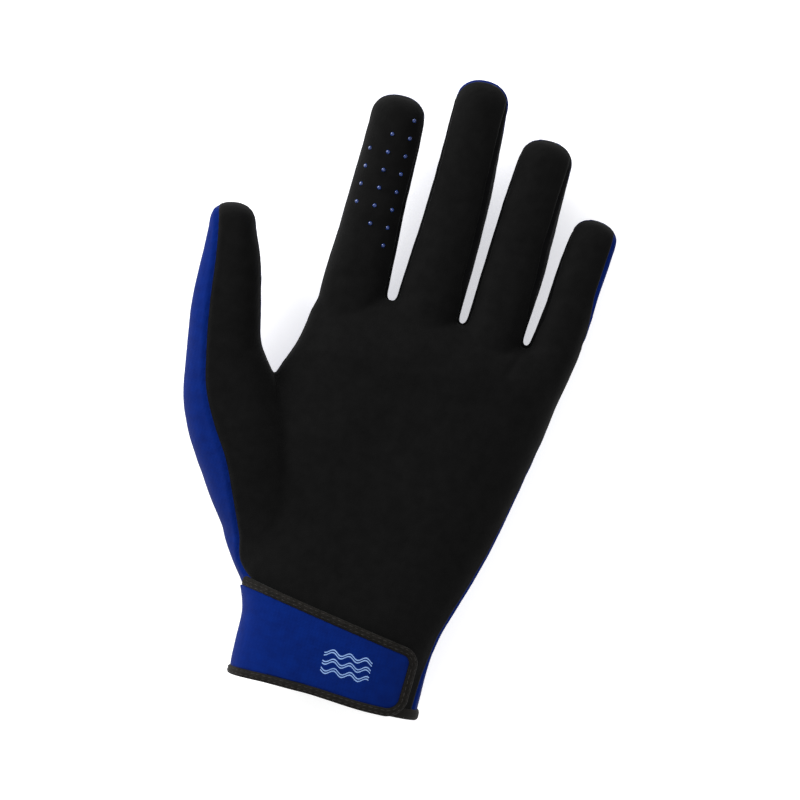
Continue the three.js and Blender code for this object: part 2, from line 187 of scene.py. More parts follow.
for name, limb in LIMBS.items():
    line = np.array(limb["line"])
    limb["x"] = curve(line[:, 1], line[:, 0])
    limb["width"] = curve(line[:, 1], line[:, 2])
    limb["depth"] = curve(line[:, 1], line[:, 3])
    limb["z"] = thumb_height if name == "thumb" else axis_height
    limb["from"], limb["to"] = line[0, 1], line[-1, 1]


def along(limb, y):
    """Direction of the limb's centreline at y."""
    step = 0.5
    low, high = min(y - step, limb["to"] - 2 * step), min(y + step, limb["to"])
    d = np.array([limb["x"](high) - limb["x"](low), high - low, limb["z"](high) - limb["z"](low)])
    return d / np.linalg.norm(d)


def superellipse(count, power):
    a = np.linspace(0, 2 * math.pi, count, endpoint=False)
    c, s = np.cos(a), np.sin(a)
    return np.sign(c) * np.abs(c) ** (2 / power), np.sign(s) * np.abs(s) ** (2 / power)


def bands(count, sides):
    """Faces between neighbouring rings, the ring's own direction first."""
    faces = []
    for r in range(count - 1):
        for i in range(sides):
            j = (i + 1) % sides
            faces.append((r * sides + i, r * sides + j, (r + 1) * sides + j, (r + 1) * sides + i))
    return faces


def tube(rings):
    """Points and faces of a closed tube through equal rings."""
    count, sides = len(rings), len(rings[0])
    faces = []
    for r in range(count - 1):
        for i in range(sides):
            j = (i + 1) % sides
            faces.append((r * sides + i, (r + 1) * sides + i, (r + 1) * sides + j, r * sides + j))
    faces.append(tuple(range(sides)))
    faces.append(tuple((count - 1) * sides + i for i in reversed(range(sides))))
    return np.concatenate(rings), faces


def palm_ring(y, grow=0.0, lift=0.0, sides=96):
    left, right, depth, drop = (curve(PALM[:, 0], PALM[:, k])(y) for k in (1, 2, 3, 4))
    cx, cz = superellipse(sides, SQUARE_PALM)
    x = (left + right) / 2 + cx * ((right - left) / 2 + grow)
    z = axis_height(y) + lift + cz * (depth + grow)
    return np.stack([x, y - WEB_DROP * smoothstep(x, -8, 36) * drop, z], 1)


def limb_ring(limb, t, sides=44):
    """A ring of the limb: t runs from 0 to 1 along it, then to 2 over its dome."""
    y = limb["from"] + (limb["to"] - limb["from"]) * min(t, 1)
    s = math.sin(max(t - 1, 0) * 0.985 * math.pi / 2)
    shrink = (1 - s**SQUARE_TIP) ** (1 / SQUARE_TIP)
    d = along(limb, y)
    side = np.array([d[1], -d[0], 0]) / math.hypot(d[0], d[1])
    up = np.cross(side, d)
    centre = np.array([limb["x"](y), y, limb["z"](y)]) + d * s * limb["dome"]
    cx, cz = superellipse(sides, SQUARE_LIMB)
    across = np.outer(cx * limb["width"](y) * shrink, side)
    upward = np.outer(cz * limb["depth"](y) * shrink, up)
    return centre + across + upward


# ---------------------------------------------------------------- meshes
def new_object(name, points, faces):
    mesh = bpy.data.meshes.new(name)
    mesh.from_pydata(np.asarray(points).tolist(), [], [tuple(map(int, f)) for f in faces])
    mesh.validate()
    mesh.update()
    mesh.polygons.foreach_set("use_smooth", [True] * len(mesh.polygons))
    obj = bpy.data.objects.new(name, mesh)
    bpy.context.scene.collection.objects.link(obj)
    return obj


def remeshed(parts, voxel):
    """One skin round all the parts, as points and triangles, in the parts' units."""
    points, faces, base = [], [], 0
    for p, f in parts:
        points.append(p)
        faces += [tuple(i + base for i in face) for face in f]
        base += len(p)
    obj = new_object("form", np.concatenate(points) / 1000, faces)
    modifier = obj.modifiers.new("skin", "REMESH")
    modifier.mode = "VOXEL"
    modifier.voxel_size = voxel / 1000
    made = obj.evaluated_get(bpy.context.evaluated_depsgraph_get())
    mesh = made.to_mesh()
    mesh.calc_loop_triangles()
    p = np.empty(len(mesh.vertices) * 3)
    mesh.vertices.foreach_get("co", p)
    t = np.empty(len(mesh.loop_triangles) * 3, int)
    mesh.loop_triangles.foreach_get("vertices", t)
    made.to_mesh_clear()
    bpy.data.objects.remove(obj)
    return p.reshape(-1, 3) * 1000, t.reshape(-1, 3)


def relax(p, t, rounds, keep=None):
    """Evens out a mesh without shrinking it much."""
    edges = np.unique(np.sort(np.concatenate([t[:, [0, 1]], t[:, [1, 2]], t[:, [2, 0]]]), 1), axis=0)
    i, j = edges.T
    count = np.bincount(np.concatenate([i, j]), minlength=len(p))[:, None]
    for _ in range(rounds):
        for factor in (0.55, -0.56):
            total = np.zeros_like(p)
            for k in range(3):
                total[:, k] = (np.bincount(i, p[j, k], len(p)) + np.bincount(j, p[i, k], len(p)))
            move = factor * (total / count - p)
            p = p + (move if keep is None else move * keep[:, None])
    return p


def normals_of(p, t):
    face = np.cross(p[t[:, 1]] - p[t[:, 0]], p[t[:, 2]] - p[t[:, 0]])
    n = np.zeros_like(p)
    for k in range(3):
        for c in range(3):
            n[:, c] += np.bincount(t[:, k], face[:, c], len(p))
    return n / np.maximum(np.linalg.norm(n, axis=1, keepdims=True), 1e-12)


def cut(p, t, f):
    """Splits the triangles that f's zero line crosses, with one value of f for each point.

    The pairs are the pieces of that line.
    """
    f = np.where(np.abs(f) < 0.03, 0.03, f)
    above = f > 0
    count = above[t].sum(1)
    mixed = (count == 1) | (count == 2)
    tm = t[mixed]
    am = above[tm]
    lone = np.where(am.sum(1) == 1, am.argmax(1), (~am).argmax(1))
    tm = np.take_along_axis(tm, (lone[:, None] + np.arange(3)) % 3, 1)
    a, b, c = tm.T
    key = np.sort(np.concatenate([np.stack([a, b], 1), np.stack([a, c], 1)]), 1)
    edges, inverse = np.unique(key, axis=0, return_inverse=True)
    i, j = edges.T
    s = (f[i] / (f[i] - f[j]))[:, None]
    new = len(p) + inverse.ravel()
    d, e = new[:len(a)], new[len(a):]
    p = np.concatenate([p, p[i] * (1 - s) + p[j] * s])
    t = np.concatenate([t[~mixed], np.stack([a, d, e], 1), np.stack([d, b, c], 1), np.stack([d, c, e], 1)])
    return p, t, np.stack([d, e], 1)


def chains(pairs):
    """The pairs joined end to end into lines of points."""
    after = {}
    for a, b in pairs.tolist():
        after.setdefault(a, []).append(b)
        after.setdefault(b, []).append(a)
    lines = []
    starts = [k for k, v in after.items() if len(v) == 1] + list(after)
    for start in starts:
        while after.get(start):
            line = [start]
            while after.get(line[-1]):
                here = line[-1]
                nxt = after[here].pop()
                after[nxt].remove(here)
                line.append(nxt)
            lines.append(line)
    return lines


def outline_edges(t):
    """Edges that only one triangle uses, in that triangle's direction."""
    e = np.concatenate([t[:, [0, 1]], t[:, [1, 2]], t[:, [2, 0]]])
    key = np.sort(e, 1)
    _, first, count = np.unique(key, axis=0, return_index=True, return_counts=True)
    return e[first[count == 1]]


def compact(t):
    used, inverse = np.unique(t, return_inverse=True)
    return used, inverse.reshape(t.shape)


def with_normals(obj, n):
    obj.data.normals_split_custom_set_from_vertices([tuple(v) for v in n])
    return obj


def shell(name, p, t, n, top, under):
    """A closed sheet between the surface moved out by top and moved by under, with its edges closed."""
    used, t = compact(t)
    p, n = p[used], n[used]
    top = np.broadcast_to(top, len(p)) if np.ndim(top) == 0 else top[used]
    under = np.broadcast_to(under, len(p)) if np.ndim(under) == 0 else under[used]
    count = len(p)
    edge = outline_edges(t)
    faces = np.concatenate([t, t[:, ::-1] + count]).tolist()
    faces += [(b, a, a + count, b + count) for a, b in edge.tolist()]
    points = np.concatenate([p + n * top[:, None], p + n * under[:, None]])
    return new_object(name, metres(points), faces)


# ---------------------------------------------------------------- materials
def linear(rgb):
    return [(c / 255 / 12.92 if c <= 10 else ((c / 255 + 0.055) / 1.055) ** 2.4) for c in rgb] + [1.0]


def material(name, rgb, rough, build=None, sheen=0.0, sheen_rgb=(255, 255, 255), coat=0.0):
    m = bpy.data.materials.new(name)
    m.use_nodes = True
    tree = m.node_tree
    shader = tree.nodes["Principled BSDF"]
    shader.inputs["Base Color"].default_value = linear(rgb)
    shader.inputs["Roughness"].default_value = rough
    shader.inputs["Sheen Weight"].default_value = sheen
    shader.inputs["Sheen Roughness"].default_value = 0.5
    shader.inputs["Sheen Tint"].default_value = linear(sheen_rgb)
    shader.inputs["Coat Weight"].default_value = coat
    shader.inputs["Coat Roughness"].default_value = 0.15
    shader.inputs["Specular IOR Level"].default_value = 0.06 if coat == 0 else 0.5
    m.diffuse_color = linear(rgb)
    if build:
        build(tree, shader)
    return m


def node(tree, kind, **values):
    made = tree.nodes.new(kind)
    for key, value in values.items():
        if hasattr(made, key):
            setattr(made, key, value)
        else:
            made.inputs[key.replace("_", " ")].default_value = value
    return made


def coordinates(tree, scale=(1, 1, 1)):
    mapping = node(tree, "ShaderNodeMapping")
    mapping.inputs["Scale"].default_value = scale
    source = node(tree, "ShaderNodeTexCoord")
    tree.links.new(source.outputs["Object"], mapping.inputs["Vector"])
    return mapping.outputs["Vector"]


def mottled(tree, shader, where, low, high, scale):
    """Colour that wanders between two tones."""
    wander = node(tree, "ShaderNodeTexNoise", Scale=scale, Detail=4.0)
    ramp = node(tree, "ShaderNodeValToRGB")
    ramp.color_ramp.elements[0].color = linear(low)
    ramp.color_ramp.elements[1].color = linear(high)
    ramp.color_ramp.elements[0].position = 0.3
    ramp.color_ramp.elements[1].position = 0.7
    tree.links.new(where, wander.inputs["Vector"])
    tree.links.new(wander.outputs["Fac"], ramp.inputs["Fac"])
    tree.links.new(ramp.outputs["Color"], shader.inputs["Base Color"])
    return ramp


def bumped(tree, shader, *layers):
    """Bump layers, each (height output, strength, distance in metres)."""
    last = None
    for height, strength, distance in layers:
        bump = node(tree, "ShaderNodeBump", Strength=strength, Distance=distance)
        tree.links.new(height, bump.inputs["Height"])
        if last:
            tree.links.new(last, bump.inputs["Normal"])
        last = bump.outputs["Normal"]
    tree.links.new(last, shader.inputs["Normal"])


def suede(low, high):
    def build(tree, shader):
        where = coordinates(tree)
        mottled(tree, shader, where, low, high, 260.0)
        nap = node(tree, "ShaderNodeTexNoise", Scale=2600.0, Detail=3.0)
        slub = node(tree, "ShaderNodeTexNoise", Scale=420.0, Detail=3.0)
        for n in (nap, slub):
            tree.links.new(where, n.inputs["Vector"])
        bumped(tree, shader, (slub.outputs["Fac"], 0.25, 0.0004), (nap.outputs["Fac"], 0.35, 0.00015))
    return build


def knit(low, high, pitch):
    """Ribs of loops: two crossing sets of fine waves."""
    def build(tree, shader):
        where = coordinates(tree)
        mottled(tree, shader, where, low, high, 300.0)
        waves = []
        for direction in ("X", "Y"):
            wave = node(tree, "ShaderNodeTexWave", Scale=1 / pitch / 3.1416 * 0.5, Distortion=1.2, Detail=1.0)
            wave.bands_direction = direction
            tree.links.new(where, wave.inputs["Vector"])
            waves.append(wave.outputs["Fac"])
        both = node(tree, "ShaderNodeMath", operation="MULTIPLY")
        tree.links.new(waves[0], both.inputs[0])
        tree.links.new(waves[1], both.inputs[1])
        fuzz = node(tree, "ShaderNodeTexNoise", Scale=900.0, Detail=3.0)
        tree.links.new(where, fuzz.inputs["Vector"])
        bumped(tree, shader, (fuzz.outputs["Fac"], 0.2, 0.0002), (both.outputs["Value"], 0.35, 0.0001))
    return build


def ribbed(low, high, direction, pitch):
    def build(tree, shader):
        where = coordinates(tree)
        mottled(tree, shader, where, low, high, 500.0)
        wave = node(tree, "ShaderNodeTexWave", Scale=1 / pitch / 3.1416 * 0.5, Distortion=0.4)
        wave.bands_direction = direction
        fuzz = node(tree, "ShaderNodeTexNoise", Scale=1800.0, Detail=2.0)
        for n in (wave, fuzz):
            tree.links.new(where, n.inputs["Vector"])
        bumped(tree, shader, (fuzz.outputs["Fac"], 0.25, 0.0001), (wave.outputs["Fac"], 0.5, 0.00018))
    return build


SUEDE = material("palm_suede", (8, 8, 8), 0.85, suede((6, 6, 6), (10, 10, 10)), 0.06, (150, 150, 150))
BACK = material("back_stretch", (0, 23, 86), 0.95, knit((0, 21, 81), (0, 26, 92), 0.0006), 0.02)
MESH = material("side_mesh", (6, 6, 7), 0.85, knit((4, 4, 5), (9, 9, 10), 0.0009), 0.03)
TAPE = material("binding_tape", (20, 18, 16), 0.75, ribbed((15, 14, 12), (24, 22, 20), "Y", 0.0005), 0.03)
LINING = material("lining", (12, 12, 13), 0.95, knit((9, 9, 10), (15, 15, 16), 0.0008), 0.05)
THREAD = material("thread", (40, 38, 36), 0.6, ribbed((30, 29, 28), (48, 46, 44), "X", 0.0002))
DOT = material("silicone_dot", (3, 36, 96), 0.25, suede((2, 32, 88), (4, 42, 106)), coat=0.5)
PRINT = material("print", (120, 150, 195), 0.5, suede((110, 140, 185), (130, 160, 205)))
HOOK = material("hook_tape", (14, 14, 14), 0.9, suede((8, 8, 8), (24, 24, 24)))
LOOP = material("loop_tape", (16, 16, 16), 0.95, suede((10, 10, 10), (26, 26, 26)), 0.2)


def finish(obj, skin, replaces=()):
    obj.data.materials.append(skin)
    if replaces:
        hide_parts(*replaces)
    return obj


# ---------------------------------------------------------------- joints and portions
def joint_of(limb, y):
    """The joint's point under the palm-side crease, and the limb's direction there."""
    d = along(limb, y)
    side = np.array([d[1], -d[0], 0]) / math.hypot(d[0], d[1])
    if limb is LIMBS["thumb"]:
        side[2] = -THUMB_LEAN
        side = side - d * np.dot(side, d)
        side = side / np.linalg.norm(side)
    up = np.cross(side, d)
    centre = np.array([limb["x"](y), y, limb["z"](y)])
    return centre + up * (limb["depth"](y) - CREASE_DEPTH), d


for name, limb in LIMBS.items():
    limb["knuckle_at"], limb["knuckle_dir"] = joint_of(limb, limb["knuckle"])
    limb["middle_at"], limb["middle_dir"] = joint_of(limb, limb["middle"])
    gap = np.linalg.norm(limb["middle_at"] - limb["knuckle_at"])
    limb["root_from"] = 0.8
    limb["root_to"] = 0.8 + min(12.5, 0.42 * gap)
    limb["split"] = 0.54 * gap
    limb["middle_span"] = 0.42 * gap


def members(limb_name, p):
    """Which points belong to a limb beyond where it joins the palm."""
    if limb_name == "thumb":
        return (p[:, 0] < -43) & (p[:, 1] > 98.5)
    y = p[:, 1]
    gaps = {n: np.abs(p[:, 0] - LIMBS[n]["x"](y)) for n in FINGERS}
    nearest = np.all([gaps[limb_name] <= gaps[n] for n in FINGERS], axis=0)
    return nearest & (y > 120) & (p[:, 0] > -43)


def past(limb_name, p, which, distance):
    limb = LIMBS[limb_name]
    s = (p - limb[which + "_at"]) @ limb[which + "_dir"] - distance
    return np.where(members(limb_name, p), s, -50.0)


def seam_height(p):
    share = smoothstep(-p[:, 0], 38, 50) * smoothstep(p[:, 1], 60, 95)
    heel = 3.2 * (1 - smoothstep(p[:, 1], 74, 114)) * smoothstep(p[:, 0], 20, 34)
    return axis_height(p[:, 1]) * (1 - share) + thumb_height(p[:, 1]) * share + heel


seam_x = curve(THUMB_SEAM[::-1, 1], THUMB_SEAM[::-1, 0])


def palm_field(p):
    """Above zero on the palm's side of the seam round the glove."""
    x, y = p[:, 0], p[:, 1]
    tip = 1.7 * smoothstep(y, 199, 207) * (np.abs(x - 3) < 11)
    edge = np.interp(y, [0, 14, 22, 28, 36, 46, 58, 72, 88, 104],
                     [29.3, 29.9, 31.0, 32.0, 34.5, 37.8, 41.3, 44.4, 48.6, 60])
    little = LIMBS["little"]["x"](y) + LIMBS["little"]["width"](y) - 1.1 * smoothstep(y, 136, 152)
    edge = np.where(y > 132, little, edge)
    return np.minimum(np.minimum(p[:, 2] - seam_height(p) - tip, x - seam_x(y)), edge - x)


def slit_field(p):
    """Above zero in the wrist slit, under the tab."""
    edge = np.interp(p[:, 1], [16, 26], [-27, -30.5])
    return np.minimum(np.minimum(p[:, 2] - 19.2, edge - p[:, 0]), 26 - p[:, 1])


def strip_field(p):
    """Above zero on the side strips between the fingers."""
    best = np.full(len(p), -9.0)
    for n in FINGERS:
        limb = LIMBS[n]
        end = limb["to"] + 4
        half = 3.9 * np.sqrt(np.clip((end - p[:, 1]) / 30, 0, 1)) - 0.3
        for sign in limb["sides"]:
            u = sign * (p[:, 0] - limb["x"](p[:, 1]))
            turned = 2.6 * smoothstep(p[:, 1], 134, 144) if sign > 0 and n != "index" else 0.0
            v = np.abs(p[:, 2] - axis_height(p[:, 1]) - turned)
            inside = np.minimum(np.minimum(half - v, u - 2), 14 - u)
            best = np.maximum(best, np.minimum(inside, p[:, 1] - 112))
    return best


# ---------------------------------------------------------------- the skin
# Pads and hollows of the hand: x, y, radius, and how far it stands out or in.
PADS = [(22, 117, 8, 0.8), (-22, 113, 8, 0.7), (0, 115, 8, 0.7), (40, 112, 7, 0.5), (-2, 84, 22, -1.9),
        (-40, 74, 15, 1.3), (-28, 92, 10, -1.2), (30, 66, 18, 0.9), (4, 46, 13, -0.9), (20, 32, 9, -0.6),
        (26, 106, 9, -0.7)]

# Soft folds: from, to, width, and how far it stands out or in.
CREASES = [
    ((14, 131), (31, 122), 1.6, 0.35),
    ((-9, 131), (6, 124), 1.6, -0.3),
    ((36, 124), (33, 116), 1.2, -0.5),
    ((-44, 98), (-30, 74), 3.0, -0.5),
    ((-34, 104), (22, 104), 4.0, -0.35),
    ((-10, 60), (-30, 44), 3.5, -0.3),
    ((-20, 42), (18, 36), 2.5, -0.35),
    ((-52, 104), (-70, 112), 1.8, -0.35),
    ((-56, 126), (-70, 130), 1.8, -0.3),
]
for limb in LIMBS.values():
    for y in (limb["knuckle"] + 2, limb["middle"]):
        x, w = float(limb["x"](y)), float(limb["width"](y)) * 0.55
        CREASES.append(((x - w, y - 0.8), (x + w, y + 0.8), 1.7, -0.24))


def palm_relief(p):
    """How far the palm side stands out or in: pads, hollows and soft creases."""
    out = np.zeros(len(p))
    for x, y, radius, height in PADS:
        out += height * np.exp(-((p[:, 0] - x) ** 2 + (p[:, 1] - y) ** 2) / radius**2)
    for a, b, width, height in CREASES:
        a, b = np.array(a, float), np.array(b, float)
        q = p[:, :2] - a
        t = np.clip(q @ (b - a) / np.dot(b - a, b - a), 0, 1)
        away = np.linalg.norm(q - t[:, None] * (b - a), axis=1)
        out += height * np.exp(-(away / width) ** 2) * np.sin(np.pi * (0.15 + 0.7 * t))
    return out


def make_skin():
    parts = [tube([palm_ring(y) for y in np.linspace(-12, 131.5, 90)])]
    for limb in LIMBS.values():
        shares = np.concatenate([np.linspace(0, 1, 50), np.linspace(1.04, 2, 22)])
        parts.append(tube([limb_ring(limb, t) for t in shares]))
    p, t = remeshed(parts, 0.9)
    p = relax(p, t, 8)
    web = np.exp(-((p[:, 1] - 128) / 10) ** 2) + np.exp(-((p[:, 1] - 95) / 14) ** 2) * (p[:, 0] < -30)
    p = relax(p, t, 14, np.clip(web + 0.15, 0, 1))
    n = normals_of(p, t)
    palm_side = smoothstep(n[:, 2], 0.1, 0.7)
    ripple = np.array([noise.noise(Vector(v) / 11) + 0.5 * noise.noise(Vector(v) / 5) for v in p])
    p = p + n * (palm_side * palm_relief(p) + 0.16 * ripple)[:, None]
    p[:, 2] = 0.5 * (p[:, 2] + np.sqrt(p[:, 2] ** 2 + 0.5))
    return relax(p, t, 2), t


P, T = make_skin()
fields = [lambda p: p[:, 1] - SKIN_FROM_Y, slit_field, palm_field, strip_field]
seam_lines = []
for k, field in enumerate(fields):
    P, T, pairs = cut(P, T, field(P))
    if k >= 2:
        seam_lines.append(P[pairs])
for name in LIMBS:
    P, T, _ = cut(P, T, past(name, P, "knuckle", LIMBS[name]["root_from"]))
    P, T, _ = cut(P, T, past(name, P, "knuckle", LIMBS[name]["split"]))

centre = P[T].mean(1)
kept = (centre[:, 1] > SKIN_FROM_Y) & (slit_field(centre) < 0)
T, centre = T[kept], centre[kept]
kind = np.where(strip_field(centre) > 0, 2, np.where(palm_field(centre) > 0, 0, 1))
portion = np.zeros(len(T), int)
for k, name in enumerate(LIMBS):
    portion[past(name, centre, "knuckle", LIMBS[name]["root_from"]) > 0] = 1 + 2 * k
    portion[past(name, centre, "knuckle", LIMBS[name]["split"]) > 0] = 2 + 2 * k

# Seams: the skin is drawn in along them.
ends = np.concatenate([line.reshape(-1, 3) for line in seam_lines[:1]])
ends = ends[(strip_field(ends) < -0.05) & (ends[:, 1] > SKIN_FROM_Y)]
ends = np.concatenate([ends, seam_lines[1].reshape(-1, 3)])
tree = KDTree(len(ends))
for k, point in enumerate(ends):
    tree.insert(point, k)
tree.balance()
away = np.array([tree.find(v)[2] for v in P])
N = normals_of(P, T)
P = P - N * (0.6 * np.exp(-(away / 0.55) ** 2) - 0.18 * np.exp(-((away - 1.5) / 0.8) ** 2))[:, None]
P[:, 2] = np.maximum(P[:, 2], TABLE_CLEAR)
N = normals_of(P, T)

surface = BVHTree.FromPolygons([tuple(v) for v in P], [tuple(f) for f in T.tolist()])


def place(obj, which):
    """A piece of skin on the palm and wrist follows the hand; any other piece only has its placement baked
    into its mesh.
    """
    if which == 0:
        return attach(obj, "hand")
    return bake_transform(obj)


def portion_name(which):
    if which == 0:
        return "hand"
    name = list(LIMBS)[(which - 1) // 2]
    return ("thumb" if name == "thumb" else name + "_finger") + ("_lower" if which % 2 else "_upper")


KINDS = [
    ("palm_side", SUEDE, "palm_suede"),
    ("back", BACK, "backhand_stretch"),
    ("side_strips", MESH, "side_mesh"),
]
for which in range(1 + 2 * len(LIMBS)):
    for k, (word, skin, slot) in enumerate(KINDS):
        chosen = T[(portion == which) & (kind == k)]
        if len(chosen) < 20:
            continue
        used, tris = compact(chosen)
        base = portion_name(which)
        obj = new_object(f"{base}_{word}_skin", metres(P[used]), tris)
        with_normals(obj, N[used])
        if which == 0:
            cad = [["palm_panel"], ["back_panel"], []][k]
        elif k == 2:
            cad = [n for n in nodes if n.startswith(base) and n.endswith("fourchette")]
        else:
            cad = [f"{base}_{word}"]
        finish(obj, skin, cad)
        place(obj, which)

# The lining of the palm and wrist, with the edges of the slit and the cuff closed.
inner = T[portion == 0]
used, tris = compact(inner)
edge = outline_edges(tris)
count = len(used)
points = np.concatenate([P[used] - N[used] * 0.02, P[used] - N[used] * WALL])
points[count:, 2] = np.maximum(points[count:, 2], WALL)
walls = [(b, a, a + count, b + count) for a, b in edge.tolist() if P[used[a], 1] < 34]
lining = new_object("lining", metres(points), (tris[:, ::-1] + count).tolist() + walls)
finish(lining, LINING)
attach(lining, "hand")


# ---------------------------------------------------------------- grip dots
def dome(centre_at, normal, radius, height, sides=12, rings=4):
    u = np.cross(normal, [0.0, 1.0, 0.1])
    u = u / np.linalg.norm(u)
    v = np.cross(normal, u)
    a = np.linspace(0, 2 * math.pi, sides, endpoint=False)
    points = []
    for r in range(rings):
        b = (r / rings) * math.pi / 2
        circle = np.outer(np.cos(a), u) + np.outer(np.sin(a), v)
        points.append(centre_at + circle * radius * math.cos(b) + normal * (height * math.sin(b) - 0.15))
    points.append((centre_at + normal * (height - 0.15))[None])
    faces = bands(rings, sides)
    top = rings * sides
    faces += [((rings - 1) * sides + i, (rings - 1) * sides + (i + 1) % sides, top) for i in range(sides)]
    return np.concatenate(points), faces


def gather(shapes):
    points, faces, base = [], [], 0
    for p, f in shapes:
        points.append(p)
        faces += [tuple(i + base for i in face) for face in f]
        base += len(p)
    return np.concatenate(points), faces


# The dots' columns: x, and the rows that have a dot.
DOT_COLUMNS = ((-28.6, (2, 3, 4, 5)), (-22.5, (1, 2, 3, 4, 5, 6)), (-16.6, range(8)))
DOT_TOP = 190.0
DOT_PITCH = 6
DOT_RADIUS = 0.72
DOT_HEIGHT = 0.65
dots = {1: [], 2: []}
cad_dots = {1: [], 2: []}
number = 0
for x, rows in DOT_COLUMNS:
    for row in rows:
        number += 1
        y = DOT_TOP - DOT_PITCH * row
        hit, normal, _, _ = surface.ray_cast(Vector((x, y, 90)), Vector((0, 0, -1)))
        s = past("index", np.array([[x, y, hit.z]]), "knuckle", LIMBS["index"]["split"])[0]
        which = 2 if s > 0 else 1
        dots[which].append(dome(np.array(hit), np.array(normal), DOT_RADIUS, DOT_HEIGHT))
        cad_dots[2 if y > 163.5 else 1].append(f"grip_dot_{number:02d}")
for which in (1, 2):
    p, f = gather(dots[which])
    finish(new_object(f"grip_dots_{which}", metres(p), f), DOT, cad_dots[which])
    place(bpy.data.objects[f"grip_dots_{which}"], which)

# ---------------------------------------------------------------- the cuff's binding


def wrist_points(y, grow, lift, angles):
    left, right, depth, drop = (curve(PALM[:, 0], PALM[:, k])(y) for k in (1, 2, 3, 4))
    c, s = np.cos(angles), np.sin(angles)
    x = (left + right) / 2 + np.sign(c) * np.abs(c) ** (2 / 2.6) * ((right - left) / 2 + grow)
    z = axis_height(y) + lift + np.sign(s) * np.abs(s) ** (2 / 2.6) * (depth + grow)
    return np.stack([x, np.broadcast_to(y, np.shape(x)), z], -1)


def hem_rise(x):
    """The cuff's edge rises a little towards the thumb side."""
    x = -np.asarray(x, float)
    return 0.5 + 1.3 * smoothstep(x, -16, 8) - 0.6 * smoothstep(x, 18, 34)


def even_angles(low, high, step, grow, lift):
    """Angles round the wrist that step evenly along it."""
    fine = np.linspace(low, high, 3000)
    p = wrist_points(np.full(3000, 10.0), grow, lift, fine)
    run = np.concatenate([[0], np.cumsum(np.linalg.norm(np.diff(p, axis=0), axis=1))])
    return np.interp(np.linspace(0, run[-1], int(run[-1] / step) + 1), run, fine)


ring_angles = even_angles(math.radians(-177.6), math.radians(138), 0.8, 0, 0)
profile = []
for a in np.linspace(0, 2 * math.pi, 14, endpoint=False):
    profile.append((0.55 + 1.85 * np.sign(math.cos(a)) * abs(math.cos(a)) ** 0.7,
                    -0.55 + 1.4 * np.sign(math.sin(a)) * abs(math.sin(a)) ** 0.7))
rings = [np.array([wrist_points(y, grow, 0, angle) for y, grow in profile]) for angle in ring_angles]
for ring in rings:
    ring[:, 1] += hem_rise(ring[:, 0])
points, faces = tube(rings)
finish(new_object("cuff_binding_tape", metres(points), faces), TAPE, ["cuff_binding"])
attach(bpy.data.objects["cuff_binding_tape"], "hand")

# ---------------------------------------------------------------- the tab
TAB_LIFT = 2.3  # how much higher the tab lies than the palm under it
TAB_MID = 0.9  # from the palm's outline to the middle of the tab's fabric
TAB_BIND = 2.7  # the binding's width


def tab_inside(p):
    """How far inside the tab's outline a point is, as the palm side shows it."""
    top = (32.4 - (p[:, 0] + 36) * 0.168 - p[:, 1]) * 0.986
    right = 27.2 - 0.03 * (20 - p[:, 1]) - p[:, 0]
    bottom = p[:, 1] + 1.4 - hem_rise(p[:, 0])

    def corner(a, b, r):
        return np.where((a < r) & (b < r), r - np.hypot(r - a, r - b), np.minimum(a, b))
    return np.minimum(corner(top, right, 5.0), corner(bottom, right, 6.5))


def off_the_root(p):
    """Below zero at the tab's upper corner, where the thumb side has no tab."""
    return np.maximum(p[:, 0] + 34.6, 28.6 - p[:, 1])


step = 0.5
tab_angles = even_angles(math.radians(15), math.radians(191), step, TAB_MID, TAB_LIFT)
tab_ys = np.arange(-2.4, 33.5, step)
tab_rows = [wrist_points(np.full(len(tab_angles), y), TAB_MID, TAB_LIFT, tab_angles) for y in tab_ys]
TP = np.concatenate(tab_rows)
w = len(tab_angles)
quads = [(r * w + i, r * w + i + 1, (r + 1) * w + i + 1, (r + 1) * w + i)
         for r in range(len(tab_ys) - 1) for i in range(w - 1)]
TT = np.array([q for a, b, c, d in quads for q in ((a, c, b), (a, d, c))])
if normals_of(TP, TT)[len(TP) // 2 + w // 2, 2] < 0:
    TT = TT[:, ::-1]
TP, TT, _ = cut(TP, TT, tab_inside(TP))
TP, TT, _ = cut(TP, TT, tab_inside(TP) - TAB_BIND)
TP, TT, _ = cut(TP, TT, off_the_root(TP))
TT = TT[off_the_root(TP[TT].mean(1)) > 0]
snug = smoothstep(-TP[:, 0], 27, 33.5)
TP[:, 0] += 0.55 * snug
ripple = np.array([noise.noise(Vector(v) / 9 + Vector((40, 0, 0))) for v in TP])
TN = normals_of(TP, TT)
TP = TP + TN * (0.22 * ripple)[:, None]
TN = normals_of(TP, TT)
depth_in = tab_inside(TP)
where_in = tab_inside(TP[TT].mean(1))
arch = np.sqrt(np.clip(1 - ((depth_in - TAB_BIND / 2) / (TAB_BIND / 2)) ** 2, 0, 1))
fabric = np.interp(depth_in, [TAB_BIND, TAB_BIND + 0.5, TAB_BIND + 3], [0.3, 0.55, 0.72])
tape = 0.34 + 0.72 * arch**0.6
stitch_rows = (0.85, 1.95)
for row in stitch_rows:
    tape = tape - 0.14 * np.exp(-((depth_in - row) / 0.22) ** 2)


def fold(obj):
    """Bakes a tab piece's placement into its mesh."""
    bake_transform(obj)


obj = shell("tab_fabric", TP, TT[where_in > TAB_BIND], TN, fabric, -0.5)
finish(obj, BACK, ["closure_tab"])
fold(obj)
obj = shell("tab_binding_tape", TP, TT[(where_in > 0) & (where_in < TAB_BIND)], TN, tape, -tape * 0.8)
finish(obj, TAPE, ["tab_binding"])
fold(obj)


